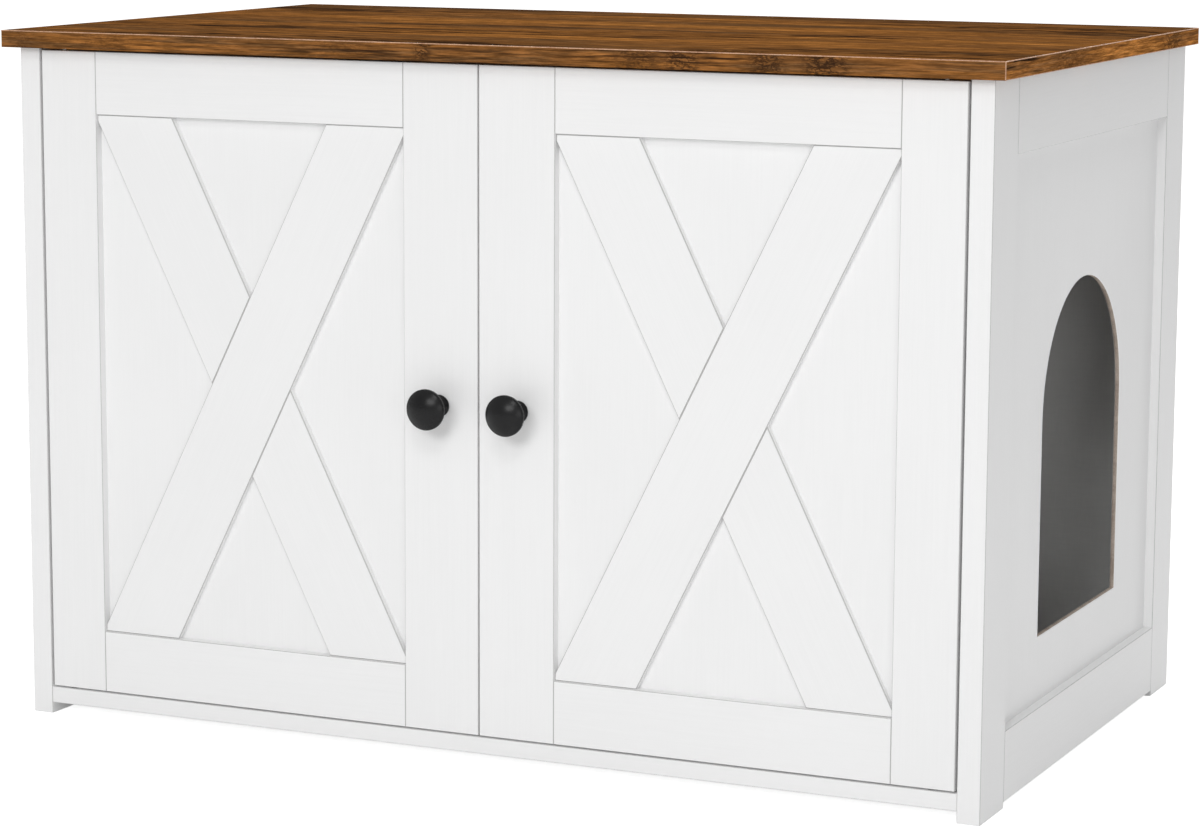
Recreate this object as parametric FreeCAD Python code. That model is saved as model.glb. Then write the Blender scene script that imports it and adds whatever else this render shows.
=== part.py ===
import FreeCAD, Part
import math
import os

# Cat litter box cabinet: a low two-door cabinet with barn-door braces, a wood-print top
# and an arched cat entrance in its right side. All sizes are in millimetres.
# X runs to the right as seen from the front, Y runs to the back and Z runs up.
# The origin is on the floor, under the middle of the whole cabinet with its knobs.

# ---- carcass ----
carcass_width = 900.0
carcass_depth = 547.0
carcass_height = 600.0
top_board_thickness = 15.0
top_overhang = 12.0
bottom_board_thickness = 15.0
bottom_board_lift = 10.0
board_ease = 0.8

# ---- side frames ----
post_thickness = 20.0
front_post_depth = 60.0
rear_post_depth = 55.0
side_top_rail_height = 63.0
side_bottom_rail_height = 60.0
side_rail_lift = 5.0
side_panel_thickness = 5.0
side_panel_recess = 8.5
side_groove_depth = 8.0
panel_float = 0.5
frame_ease = 0.5

# ---- back panel ----
back_panel_thickness = 5.0
back_panel_inset = 12.0
back_groove_depth = 6.0

# ---- cat entrance in the right side panel ----
entrance_width = 224.0
entrance_height = 294.0
entrance_sill_height = 121.0
entrance_setback = 281.0

# ---- doors ----
door_thickness = 20.0
door_post_gap = 2.0
door_meeting_gap = 1.0
door_bottom_gap = 1.0
door_top_gap = 2.0
outer_stile_width = 55.0
meeting_stile_width = 70.0
door_top_rail_height = 55.0
door_bottom_rail_height = 55.0
door_panel_thickness = 5.0
door_panel_recess = 8.5
door_groove_depth = 8.0
brace_width = 70.0
brace_thickness = 6.0
brace_corner_drop = 6.0
brace_ease = 0.8

# ---- door pivots ----
pivot_inset = 20.0
pivot_setback = 7.0
pivot_pin_radius = 2.5
pivot_pin_seat = 30.0
pivot_pin_reach = 9.0
pivot_pin_ease = 0.6
pivot_clearance = 0.05
pivot_end_play = 0.4
bush_radius = 4.5
bush_end_wall = 1.5
bush_flange_radius = 5.6
upper_bush_flange = 1.0

# ---- knobs ----
knob_height = 309.0
knob_outset = 1.5
knob_projection = 33.0
knob_base_radius = 9.5
knob_base_thickness = 2.0
knob_neck_radius = 5.5
knob_neck_setback = 10.0
knob_head_radius = 17.5
knob_head_setback = 23.5
knob_dome_rise = 6.0
knob_rim_rounding = 1.2
knob_screw_radius = 2.0
knob_screw_depth = 12.0
screw_head_radius = 4.0
screw_head_height = 2.5
screw_head_ease = 0.6
screw_slot_width = 1.0
screw_slot_depth = 1.2
screw_slot_length = 5.0

# ---- cam bolts, cam locks and dowels, each cam bolt and dowel crossing one joint ----
cam_radius = 7.5
cam_depth = 12.0
cam_distance = 24.0
cam_bolt_setin = 8.0
cam_bolt_thread_radius = 3.0
cam_bolt_thread_length = 11.0
cam_bolt_shank_radius = 3.5
cam_bolt_neck_radius = 1.75
cam_bolt_head_radius = 3.0
cam_bolt_head_length = 3.0
cam_cavity_radius = 3.6
cam_cavity_past_head = 1.0
cam_slot_width = 1.4
cam_slot_depth = 2.0
cam_slot_length = 9.0
dowel_radius = 4.0
dowel_board_depth = 10.0
dowel_frame_depth = 20.0
dowel_post_distance = 110.0

# ---- magnetic catches and strike plates ----
catch_length = 46.0
catch_block_length = 26.0
catch_depth = 15.0
catch_height = 13.0
catch_ear_thickness = 3.0
catch_ease = 0.8
catch_ear_rounding = 3.5
catch_air = 0.1
magnet_length = 18.0
magnet_depth = 9.0
magnet_height = 6.0
pole_plate_thickness = 1.2
pole_plate_proud = 0.6
catch_screw_radius = 1.6
catch_screw_length = 14.0
catch_screw_head_radius = 3.4
catch_screw_head_height = 1.8
strike_length = 32.0
strike_height = 14.0
strike_thickness = 1.2
strike_edge_gap = 2.0
strike_rounding = 3.0
strike_screw_radius = 1.6
strike_screw_length = 12.0
strike_screw_head_radius = 3.2
strike_screw_head_height = 1.0
strike_slot_length = 3.2
strike_slot_width = 0.6
strike_slot_depth = 0.5

# ---- places worked out from the sizes above ----
half_width = carcass_width / 2.0
inner_half_width = half_width - post_thickness
front_y = -(carcass_depth - knob_projection) / 2.0
rear_y = front_y + carcass_depth
front_post_rear_y = front_y + front_post_depth
rear_post_front_y = rear_y - rear_post_depth
bottom_board_top = bottom_board_lift + bottom_board_thickness
back_panel_rear_y = rear_y - back_panel_inset
back_panel_front_y = back_panel_rear_y - back_panel_thickness
back_groove_half_width = inner_half_width + back_groove_depth
side_bottom_rail_top = side_rail_lift + side_bottom_rail_height
side_top_rail_low = carcass_height - side_top_rail_height
side_panel_outer_x = half_width - side_panel_recess
side_panel_inner_x = side_panel_outer_x - side_panel_thickness
door_back_y = front_y + door_thickness
door_low = bottom_board_top + door_bottom_gap
door_high = carcass_height - door_top_gap
door_outer_x = inner_half_width - door_post_gap
door_inner_x = door_meeting_gap / 2.0
door_opening_outer_x = door_outer_x - outer_stile_width
door_opening_inner_x = door_inner_x + meeting_stile_width
door_opening_low = door_low + door_bottom_rail_height
door_opening_high = door_high - door_top_rail_height
door_panel_front_y = front_y + door_panel_recess
door_panel_back_y = door_panel_front_y + door_panel_thickness
brace_front_y = door_panel_front_y - brace_thickness
pivot_x = door_outer_x - pivot_inset
pivot_y = front_y + pivot_setback
knob_x = door_inner_x + meeting_stile_width / 2.0 + knob_outset
bush_bore_radius = pivot_pin_radius + pivot_clearance
bush_depth = pivot_pin_reach + bush_end_wall
cam_front_y = front_y + front_post_depth / 2.0
cam_rear_y = rear_post_front_y + rear_post_depth / 2.0
dowel_ys = [
    front_post_rear_y + dowel_post_distance,
    rear_post_front_y - dowel_post_distance,
]
strike_high = door_high - strike_edge_gap
strike_middle_z = strike_high - strike_height / 2.0
catch_front_y = door_back_y + strike_thickness + catch_air
catch_low = carcass_height - catch_height

UP = FreeCAD.Vector(0, 0, 1)
DOWN = FreeCAD.Vector(0, 0, -1)
BACK = FreeCAD.Vector(0, 1, 0)
FORWARD = FreeCAD.Vector(0, -1, 0)
RIGHT = FreeCAD.Vector(1, 0, 0)
SIDES = {"left": -1.0, "right": 1.0}
SAME_PLACE = 1e-4


def block(x_span, y_span, z_span):
    """A rectangular block between three pairs of limits, each pair in any order."""
    low = FreeCAD.Vector(min(x_span), min(y_span), min(z_span))
    high = FreeCAD.Vector(max(x_span), max(y_span), max(z_span))
    size = high - low
    return Part.makeBox(size.x, size.y, size.z, low)


def eased_block(x_span, y_span, z_span, ease):
    """A block with every edge chamfered by ease."""
    solid = block(x_span, y_span, z_span)
    return solid.makeChamfer(ease, solid.Edges)


def rod(radius, start, direction, length):
    """A round bar from start along direction."""
    return Part.makeCylinder(radius, length, start, direction)


def eased_rod(radius, start, direction, length, ease):
    """A round bar whose two ends are chamfered by ease."""
    solid = rod(radius, start, direction, length)
    rims = [edge for edge in solid.Edges if edge.isClosed()]
    return solid.makeChamfer(ease, rims)


def turned(outline, start, direction):
    """A turned piece from (radius, distance) points, its axis at start along direction."""
    points = [FreeCAD.Vector(radius, 0, distance) for radius, distance in outline]
    face = Part.Face(Part.makePolygon(points + points[:1]))
    return placed(face.revolve(FreeCAD.Vector(), UP, 360), start, direction)


def placed(solid, start, direction):
    """Moves a piece made along Z at the origin to start, along direction."""
    solid.Placement = FreeCAD.Placement(start, FreeCAD.Rotation(UP, direction))
    return solid


def edges_at_y(solid, y):
    """The edges that lie wholly in the upright plane at y."""
    return [
        edge
        for edge in solid.Edges
        if all(abs(vertex.Y - y) < SAME_PLACE for vertex in edge.Vertexes)
    ]


def cross_slot(centre, direction, length, width, depth):
    """The cutter for a cross recess sunk from centre along direction."""
    arm = Part.makeBox(length, width, depth, FreeCAD.Vector(-length / 2, -width / 2, 0))
    other = Part.makeBox(width, length, depth, FreeCAD.Vector(-width / 2, -length / 2, 0))
    return placed(arm.fuse(other), centre, direction)


def mirrored_span(sign, near, far):
    """X limits on one side of the cabinet's middle plane."""
    return (sign * near, sign * far)


# ---- fittings' places ----
def top_cam_places():
    """For each cam joint under the top board: the point where its bolt crosses the joint,
    the bolt's direction into the frame, the cam's centre and the cam's outward direction."""
    places = []
    for sign in SIDES.values():
        for y in (cam_front_y, cam_rear_y):
            bolt_x = sign * (inner_half_width + cam_bolt_setin)
            joint = FreeCAD.Vector(bolt_x, y, carcass_height)
            cam = FreeCAD.Vector(sign * inner_half_width, y, carcass_height - cam_distance)
            places.append((joint, DOWN, cam, RIGHT * sign))
    return places


def bottom_cam_places():
    """The same for the cam joints between the posts and the bottom board."""
    places = []
    for sign in SIDES.values():
        for y in (cam_front_y, cam_rear_y):
            joint = FreeCAD.Vector(sign * inner_half_width, y, bottom_board_lift + cam_bolt_setin)
            cam_x = sign * (inner_half_width - cam_distance)
            cam = FreeCAD.Vector(cam_x, y, bottom_board_lift)
            places.append((joint, RIGHT * -sign, cam, UP))
    return places


def dowel_places():
    """For each dowel: the point where it crosses its joint and the direction into the
    piece that takes its longer end."""
    places = []
    for sign in SIDES.values():
        for y in dowel_ys:
            top_x = sign * (half_width - post_thickness / 2)
            places.append((FreeCAD.Vector(top_x, y, carcass_height), DOWN))
            low_z = bottom_board_lift + bottom_board_thickness / 2
            places.append((FreeCAD.Vector(sign * inner_half_width, y, low_z), RIGHT * -sign))
    return places


def cam_bolt_thread(joint, direction):
    """The threaded end of a cam bolt, and so also the hole that it bites into."""
    return rod(cam_bolt_thread_radius, joint, direction * -1, cam_bolt_thread_length)


def cam_bolt_bore(joint, direction):
    """The hole that a cam bolt's shank passes down to reach its cam."""
    return rod(cam_bolt_shank_radius, joint, direction, cam_distance)


def cam_pocket(cam, inward):
    """The round pocket that a cam sits in."""
    return rod(cam_radius, cam, inward, cam_depth)


def dowel_solid(joint, direction):
    """A dowel across its joint, and so also the two holes it is glued into."""
    start = joint - direction * dowel_board_depth
    return rod(dowel_radius, start, direction, dowel_board_depth + dowel_frame_depth)


def cut_fittings(solid):
    """Cuts every cam, cam bolt and dowel hole that reaches into a carcass piece."""
    cutters = []
    for joint, direction, cam, inward in top_cam_places() + bottom_cam_places():
        cutters.append(cam_bolt_thread(joint, direction))
        cutters.append(cam_bolt_bore(joint, direction))
        cutters.append(cam_pocket(cam, inward))
    for joint, direction in dowel_places():
        cutters.append(dowel_solid(joint, direction))
    near = [cutter for cutter in cutters if cutter.BoundBox.intersect(solid.BoundBox)]
    return solid.cut(near) if near else solid


# ---- carcass ----
def back_panel_groove():
    """The space that the back panel takes in the posts and in the two boards."""
    return block(
        (-back_groove_half_width, back_groove_half_width),
        (back_panel_front_y, back_panel_rear_y),
        (bottom_board_top - back_groove_depth, carcass_height + back_groove_depth),
    )


def top_board():
    """The wood-print top, overhanging the front and both sides and flush at the back."""
    reach = half_width + top_overhang
    board = eased_block(
        (-reach, reach),
        (front_y - top_overhang, rear_y),
        (carcass_height, carcass_height + top_board_thickness),
        board_ease,
    )
    for sign in SIDES.values():
        start = FreeCAD.Vector(sign * pivot_x, pivot_y, carcass_height)
        board = board.cut(rod(bush_radius, start, UP, bush_depth))
        for x in catch_screw_xs(sign):
            board = board.cut(catch_screw_shank(x))
    return cut_fittings(board.cut(back_panel_groove()))


def bottom_board():
    """The floor of the cabinet, with its front edge flush with the posts."""
    board = block(
        (-inner_half_width, inner_half_width),
        (front_y, rear_y),
        (bottom_board_lift, bottom_board_top),
    )
    front = edges_at_y(board, front_y)
    board = board.makeChamfer(frame_ease, front)
    for sign in SIDES.values():
        start = FreeCAD.Vector(sign * pivot_x, pivot_y, bottom_board_top)
        board = board.cut(rod(bush_radius, start, DOWN, bush_depth))
    return cut_fittings(board.cut(back_panel_groove()))


def side_groove(sign):
    """The groove all round a side frame's opening that holds its panel and rail tongues."""
    return block(
        mirrored_span(sign, side_panel_inner_x, side_panel_outer_x),
        (front_post_rear_y - side_groove_depth, rear_post_front_y + side_groove_depth),
        (side_rail_lift, carcass_height),
    )


def side_post(sign, y_span):
    """One upright of a side frame, standing on the floor."""
    span = mirrored_span(sign, inner_half_width, half_width)
    post = eased_block(span, y_span, (0, carcass_height), frame_ease)
    return cut_fittings(post.cut(side_groove(sign)).cut(back_panel_groove()))


def side_rail(sign, z_span, groove_span):
    """One cross member of a side frame, with a tongue at each end and a panel groove."""
    span = mirrored_span(sign, inner_half_width, half_width)
    panel_span = mirrored_span(sign, side_panel_inner_x, side_panel_outer_x)
    rail = eased_block(span, (front_post_rear_y, rear_post_front_y), z_span, frame_ease)
    tongue_ys = (front_post_rear_y - side_groove_depth, rear_post_front_y + side_groove_depth)
    tongue = block(panel_span, tongue_ys, z_span)
    groove = block(panel_span, tongue_ys, groove_span)
    return cut_fittings(rail.fuse(tongue).removeSplitter().cut(groove))


def side_panel(sign):
    """The thin board held in a side frame's groove."""
    reach = side_groove_depth - panel_float
    return block(
        mirrored_span(sign, side_panel_inner_x, side_panel_outer_x),
        (front_post_rear_y - reach, rear_post_front_y + reach),
        (side_bottom_rail_top - side_groove_depth, side_top_rail_low + reach),
    )


def entrance_cutter():
    """The arched doorway's shape: straight jambs under a half-round head."""
    radius = entrance_width / 2
    middle_y = front_y + entrance_setback
    spring = entrance_sill_height + entrance_height - radius
    low_front = FreeCAD.Vector(0, middle_y - radius, entrance_sill_height)
    low_rear = FreeCAD.Vector(0, middle_y + radius, entrance_sill_height)
    high_front = FreeCAD.Vector(0, middle_y - radius, spring)
    high_rear = FreeCAD.Vector(0, middle_y + radius, spring)
    crown = FreeCAD.Vector(0, middle_y, spring + radius)
    outline = Part.Wire(
        [
            Part.makeLine(low_front, low_rear),
            Part.makeLine(low_rear, high_rear),
            Part.Arc(high_rear, crown, high_front).toShape(),
            Part.makeLine(high_front, low_front),
        ]
    )
    return Part.Face(outline).extrude(RIGHT * half_width)


def side_frame(name, sign):
    """The five pieces of one side frame."""
    front = side_post(sign, (front_y, front_post_rear_y))
    rear = side_post(sign, (rear_post_front_y, rear_y))
    high_groove = (side_top_rail_low, side_top_rail_low + side_groove_depth)
    low_groove = (side_bottom_rail_top - side_groove_depth, side_bottom_rail_top)
    panel = side_panel(sign)
    return {
        name + "_front_post": front,
        name + "_rear_post": rear,
        name + "_side_top_rail": side_rail(sign, (side_top_rail_low, carcass_height), high_groove),
        name + "_side_bottom_rail": side_rail(sign, (side_rail_lift, side_bottom_rail_top), low_groove),
        name + "_side_panel": panel.cut(entrance_cutter()) if sign > 0 else panel,
    }


def back_panel():
    """The thin back, slid down into grooves in the rear posts and the bottom board."""
    reach = back_groove_half_width - panel_float
    return block(
        (-reach, reach),
        (back_panel_front_y, back_panel_rear_y),
        (bottom_board_top - back_groove_depth, carcass_height + back_groove_depth - panel_float),
    )


# ---- knock-down fittings ----
def cam_bolt(joint, direction):
    """A steel bolt: a thread in one board, and a shank, neck and head in the other."""
    head_end = cam_distance
    neck_start = cam_distance - cam_radius
    head_start = head_end - cam_bolt_head_length
    outline = [
        (0, -cam_bolt_thread_length),
        (cam_bolt_thread_radius, -cam_bolt_thread_length),
        (cam_bolt_thread_radius, 0),
        (cam_bolt_shank_radius, 0),
        (cam_bolt_shank_radius, neck_start),
        (cam_bolt_neck_radius, neck_start),
        (cam_bolt_neck_radius, head_start),
        (cam_bolt_head_radius, head_start),
        (cam_bolt_head_radius, head_end),
        (0, head_end),
    ]
    return turned(outline, joint, direction)


def cam_lock(joint, direction, cam, inward):
    """A round cam with the hollow that grips its bolt and a cross slot in its face."""
    cavity_start = joint + direction * (cam_distance - cam_radius)
    cavity = rod(cam_cavity_radius, cavity_start, direction, cam_radius + cam_cavity_past_head)
    slot = cross_slot(cam, inward, cam_slot_length, cam_slot_width, cam_slot_depth)
    return cam_pocket(cam, inward).cut([cavity, slot])


def knock_down_fittings():
    """Every cam bolt, cam lock and dowel of the carcass, grouped by kind."""
    cams = top_cam_places() + bottom_cam_places()
    bolts = [cam_bolt(joint, direction) for joint, direction, cam, inward in cams]
    locks = [cam_lock(*place) for place in cams]
    dowels = [dowel_solid(joint, direction) for joint, direction in dowel_places()]
    return {"cam_bolts": bolts, "cam_locks": locks, "carcass_dowels": dowels}


# ---- pivots ----
def pivot_bush(start, direction, flange_thickness):
    """A nylon bush sunk in a board, with a flange that stands between board and door."""
    outline = [
        (0, bush_depth),
        (bush_radius, bush_depth),
        (bush_radius, 0),
        (bush_flange_radius, 0),
        (bush_flange_radius, -flange_thickness),
        (bush_bore_radius, -flange_thickness),
        (bush_bore_radius, pivot_pin_reach),
        (0, pivot_pin_reach),
    ]
    return turned(outline, start, direction)


def pivot_bushes():
    """The lower bushes carry the doors on their flanges; the upper ones only guide."""
    lower = []
    upper = []
    for sign in SIDES.values():
        foot = FreeCAD.Vector(sign * pivot_x, pivot_y, bottom_board_top)
        head = FreeCAD.Vector(sign * pivot_x, pivot_y, carcass_height)
        lower.append(pivot_bush(foot, DOWN, door_bottom_gap))
        upper.append(pivot_bush(head, UP, upper_bush_flange))
    return {"lower_pivot_bushes": lower, "upper_pivot_bushes": upper}


def pivot_pin(sign, door_edge_z, outward, gap):
    """A steel pin pressed into the end of a door's outer stile. Its tip stops short of
    the bottom of its bush."""
    start = FreeCAD.Vector(sign * pivot_x, pivot_y, door_edge_z) - outward * pivot_pin_seat
    length = pivot_pin_seat + gap + pivot_pin_reach - pivot_end_play
    return eased_rod(pivot_pin_radius, start, outward, length, pivot_pin_ease)


def pivot_pin_hole(sign, door_edge_z, outward):
    """The hole in the stile's end that a pivot pin is pressed into."""
    start = FreeCAD.Vector(sign * pivot_x, pivot_y, door_edge_z)
    return rod(pivot_pin_radius, start, outward * -1, pivot_pin_seat)


# ---- magnetic catches ----
def catch_x(sign):
    """The middle of a catch and of the strike plate it holds."""
    return sign * knob_x


def catch_screw_xs(sign):
    """The two screws of one catch, in the middle of its ears."""
    offset = (catch_length + catch_block_length) / 4
    return [catch_x(sign) - offset, catch_x(sign) + offset]


def catch_screw_y():
    """The screws' line, in the middle of the catch's depth."""
    return catch_front_y + catch_depth / 2


def catch_screw_shank(x):
    """The shank of a catch screw, up through its ear into the top board."""
    start = FreeCAD.Vector(x, catch_screw_y(), carcass_height - catch_ear_thickness)
    return rod(catch_screw_radius, start, UP, catch_screw_length)


def catch_screw(x):
    """A round-headed screw that holds one ear of a catch."""
    ear_low = carcass_height - catch_ear_thickness
    start = FreeCAD.Vector(x, catch_screw_y(), ear_low - catch_screw_head_height)
    head = eased_rod(
        catch_screw_head_radius, start, UP, catch_screw_head_height, screw_head_ease
    )
    slot = cross_slot(start, UP, screw_slot_length, screw_slot_width, screw_slot_depth)
    return head.cut(slot).fuse(catch_screw_shank(x)).removeSplitter()


def magnet_spans(sign):
    """The limits of the magnet, open at the catch's front face."""
    x = catch_x(sign)
    z = strike_middle_z
    return (
        (x - magnet_length / 2, x + magnet_length / 2),
        (catch_front_y + pole_plate_proud, catch_front_y + pole_plate_proud + magnet_depth),
        (z - magnet_height / 2, z + magnet_height / 2),
    )


def pole_plates(sign):
    """The two steel plates that sandwich the magnet and reach out to the strike plate."""
    x_span, y_span, z_span = magnet_spans(sign)
    plate_y = (catch_front_y, y_span[1])
    low = block(x_span, plate_y, (z_span[0] - pole_plate_thickness, z_span[0]))
    high = block(x_span, plate_y, (z_span[1], z_span[1] + pole_plate_thickness))
    return [low, high]


def catch_housing(sign):
    """The moulded body of a catch: a block with the magnet's pocket, and two ears."""
    x = catch_x(sign)
    body_front = catch_front_y + pole_plate_proud
    body_rear = catch_front_y + catch_depth
    body = block(
        (x - catch_block_length / 2, x + catch_block_length / 2),
        (body_front, body_rear),
        (catch_low, carcass_height),
    )
    body = body.makeChamfer(catch_ease, body.Edges)
    ears = block(
        (x - catch_length / 2, x + catch_length / 2),
        (body_front, body_rear),
        (carcass_height - catch_ear_thickness, carcass_height),
    )
    corners = [edge for edge in ears.Edges if edge.Length < catch_ear_thickness + SAME_PLACE]
    ears = ears.makeFillet(catch_ear_rounding, corners)
    x_span, y_span, z_span = magnet_spans(sign)
    stack = (z_span[0] - pole_plate_thickness, z_span[1] + pole_plate_thickness)
    pocket = block(x_span, y_span, stack)
    shanks = [catch_screw_shank(screw_x) for screw_x in catch_screw_xs(sign)]
    return body.fuse(ears).removeSplitter().cut([pocket] + shanks)


def catches():
    """Both catches under the top board, grouped by kind of piece."""
    groups = {"catch_housings": [], "catch_magnets": [], "catch_pole_plates": [], "catch_screws": []}
    for sign in SIDES.values():
        groups["catch_housings"].append(catch_housing(sign))
        groups["catch_magnets"].append(block(*magnet_spans(sign)))
        groups["catch_pole_plates"] += pole_plates(sign)
        groups["catch_screws"] += [catch_screw(x) for x in catch_screw_xs(sign)]
    return groups


# ---- doors ----
def door_groove(sign):
    """The groove all round a door's opening that holds its panel and rail tongues."""
    return block(
        mirrored_span(
            sign,
            door_opening_inner_x - door_groove_depth,
            door_opening_outer_x + door_groove_depth,
        ),
        (door_panel_front_y, door_panel_back_y),
        (door_low, door_high),
    )


def door_stile(sign, near_x, far_x):
    """One upright of a door frame, as tall as the door."""
    span = mirrored_span(sign, near_x, far_x)
    stile = eased_block(span, (front_y, door_back_y), (door_low, door_high), frame_ease)
    return stile.cut(door_groove(sign))


def outer_stile(sign):
    """The hinge-side upright, with a pin hole in each end."""
    stile = door_stile(sign, door_opening_outer_x, door_outer_x)
    low_hole = pivot_pin_hole(sign, door_low, DOWN)
    high_hole = pivot_pin_hole(sign, door_high, UP)
    return stile.cut([low_hole, high_hole])


def meeting_stile(sign):
    """The upright in the middle of the cabinet, bored for its knob and strike screws."""
    stile = door_stile(sign, door_inner_x, door_opening_inner_x)
    return stile.cut([knob_screw_shank(sign), strike_screw_shank(sign)])


def door_rail(sign, z_span, groove_span):
    """One cross member of a door frame, with a tongue at each end and a panel groove."""
    span = mirrored_span(sign, door_opening_inner_x, door_opening_outer_x)
    tongue_span = mirrored_span(
        sign, door_opening_inner_x - door_groove_depth, door_opening_outer_x + door_groove_depth
    )
    panel_ys = (door_panel_front_y, door_panel_back_y)
    rail = eased_block(span, (front_y, door_back_y), z_span, frame_ease)
    tongue = block(tongue_span, panel_ys, z_span)
    groove = block(tongue_span, panel_ys, groove_span)
    return rail.fuse(tongue).removeSplitter().cut(groove)


def door_panel(sign):
    """The thin board held in a door frame's groove."""
    reach = door_groove_depth - panel_float
    return block(
        mirrored_span(sign, door_opening_inner_x - reach, door_opening_outer_x + reach),
        (door_panel_front_y, door_panel_back_y),
        (door_opening_low - door_groove_depth, door_opening_high + reach),
    )


def brace_angle():
    """The braces' slope above the level: each outer edge meets the stile at
    brace_corner_drop from the corner of the opening."""
    half_span = (door_opening_outer_x - door_opening_inner_x) / 2
    half_rise = (door_opening_high - door_opening_low) / 2 - brace_corner_drop
    diagonal = math.hypot(half_span, half_rise)
    return math.atan2(half_rise, half_span) + math.asin(brace_width / 2 / diagonal)


def brace_strip(sign, lean):
    """An endless brace through the middle of a door's opening. Lean 1 climbs to the
    right and lean -1 climbs to the left."""
    length = door_high - door_low + brace_width
    strip = Part.makeBox(
        2 * length,
        brace_thickness,
        brace_width,
        FreeCAD.Vector(-length, 0, -brace_width / 2),
    )
    middle_x = sign * (door_opening_inner_x + door_opening_outer_x) / 2
    middle_z = (door_opening_low + door_opening_high) / 2
    turn = FreeCAD.Rotation(BACK, -lean * math.degrees(brace_angle()))
    strip.Placement = FreeCAD.Placement(FreeCAD.Vector(middle_x, brace_front_y, middle_z), turn)
    return strip


def braces(sign):
    """The long brace and, crossing it, the two half braces, glued on the door's panel."""
    opening = block(
        mirrored_span(sign, door_opening_inner_x, door_opening_outer_x),
        (brace_front_y, door_panel_front_y),
        (door_opening_low, door_opening_high),
    )
    long_brace = brace_strip(sign, 1).common(opening)
    halves = brace_strip(sign, -1).common(opening).cut(brace_strip(sign, 1))
    by_height = sorted(halves.Solids, key=lambda solid: solid.CenterOfMass.z)
    pieces = [long_brace.Solids[0], by_height[0], by_height[-1]]
    return [
        piece.makeChamfer(brace_ease, edges_at_y(piece, brace_front_y)) for piece in pieces
    ]


def knob_screw_shank(sign):
    """The screw's shank, from the back of the door into the knob."""
    start = FreeCAD.Vector(sign * knob_x, door_back_y, knob_height)
    return rod(knob_screw_radius, start, FORWARD, door_thickness + knob_screw_depth)


def knob(sign):
    """A turned mushroom knob: a base ring, a waisted neck and a domed head."""
    base_edge = FreeCAD.Vector(knob_base_radius, 0, knob_base_thickness)
    neck = FreeCAD.Vector(knob_neck_radius, 0, knob_neck_setback)
    head_back = FreeCAD.Vector(knob_head_radius, 0, knob_head_setback)
    head_front = FreeCAD.Vector(knob_head_radius, 0, knob_projection)
    outline = Part.Wire(
        [
            Part.makeLine(FreeCAD.Vector(), FreeCAD.Vector(knob_base_radius, 0, 0)),
            Part.makeLine(FreeCAD.Vector(knob_base_radius, 0, 0), base_edge),
            Part.Arc(base_edge, neck, head_back).toShape(),
            Part.makeLine(head_back, head_front),
            Part.makeLine(head_front, UP * knob_projection),
            Part.makeLine(UP * knob_projection, FreeCAD.Vector()),
        ]
    )
    body = Part.Face(outline).revolve(FreeCAD.Vector(), UP, 360)
    dome_radius = (knob_head_radius**2 + knob_dome_rise**2) / (2 * knob_dome_rise)
    body = body.common(Part.makeSphere(dome_radius, UP * (knob_projection - dome_radius)))
    rims = [
        edge
        for edge in body.Edges
        if edge.isClosed() and edge.BoundBox.XMax > knob_head_radius - SAME_PLACE
    ]
    body = body.makeFillet(knob_rim_rounding, rims)
    place = FreeCAD.Vector(sign * knob_x, front_y, knob_height)
    return placed(body, place, FORWARD).cut(knob_screw_shank(sign))


def knob_screw(sign):
    """The pan-head screw that holds a knob from inside the cabinet."""
    start = FreeCAD.Vector(sign * knob_x, door_back_y, knob_height)
    crown = start + BACK * screw_head_height
    head = eased_rod(screw_head_radius, start, BACK, screw_head_height, screw_head_ease)
    slot = cross_slot(crown, FORWARD, screw_slot_length, screw_slot_width, screw_slot_depth)
    return head.cut(slot).fuse(knob_screw_shank(sign)).removeSplitter()


def strike_screw_shank(sign):
    """The shank of the screw that holds a strike plate on the back of a door."""
    start = FreeCAD.Vector(catch_x(sign), door_back_y + strike_thickness, strike_middle_z)
    return rod(strike_screw_radius, start, FORWARD, strike_screw_length)


def strike_sink(sign):
    """The countersink that takes the strike screw's flat head."""
    outline = [
        (0, 0),
        (strike_screw_head_radius, 0),
        (strike_screw_radius, strike_screw_head_height),
        (0, strike_screw_head_height),
    ]
    start = FreeCAD.Vector(catch_x(sign), door_back_y + strike_thickness, strike_middle_z)
    return turned(outline, start, FORWARD)


def strike_plate(sign):
    """The steel plate that the catch's magnet holds."""
    x = catch_x(sign)
    plate = block(
        (x - strike_length / 2, x + strike_length / 2),
        (door_back_y, door_back_y + strike_thickness),
        (strike_high - strike_height, strike_high),
    )
    corners = [edge for edge in plate.Edges if edge.Length < strike_thickness + SAME_PLACE]
    plate = plate.makeFillet(strike_rounding, corners)
    return plate.cut([strike_sink(sign), strike_screw_shank(sign)])


def strike_screw(sign):
    """The flat-head screw of a strike plate, with its head flush."""
    face = FreeCAD.Vector(catch_x(sign), door_back_y + strike_thickness, strike_middle_z)
    slot = cross_slot(face, FORWARD, strike_slot_length, strike_slot_width, strike_slot_depth)
    whole = strike_sink(sign).fuse(strike_screw_shank(sign)).removeSplitter()
    return whole.cut(slot)


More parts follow.
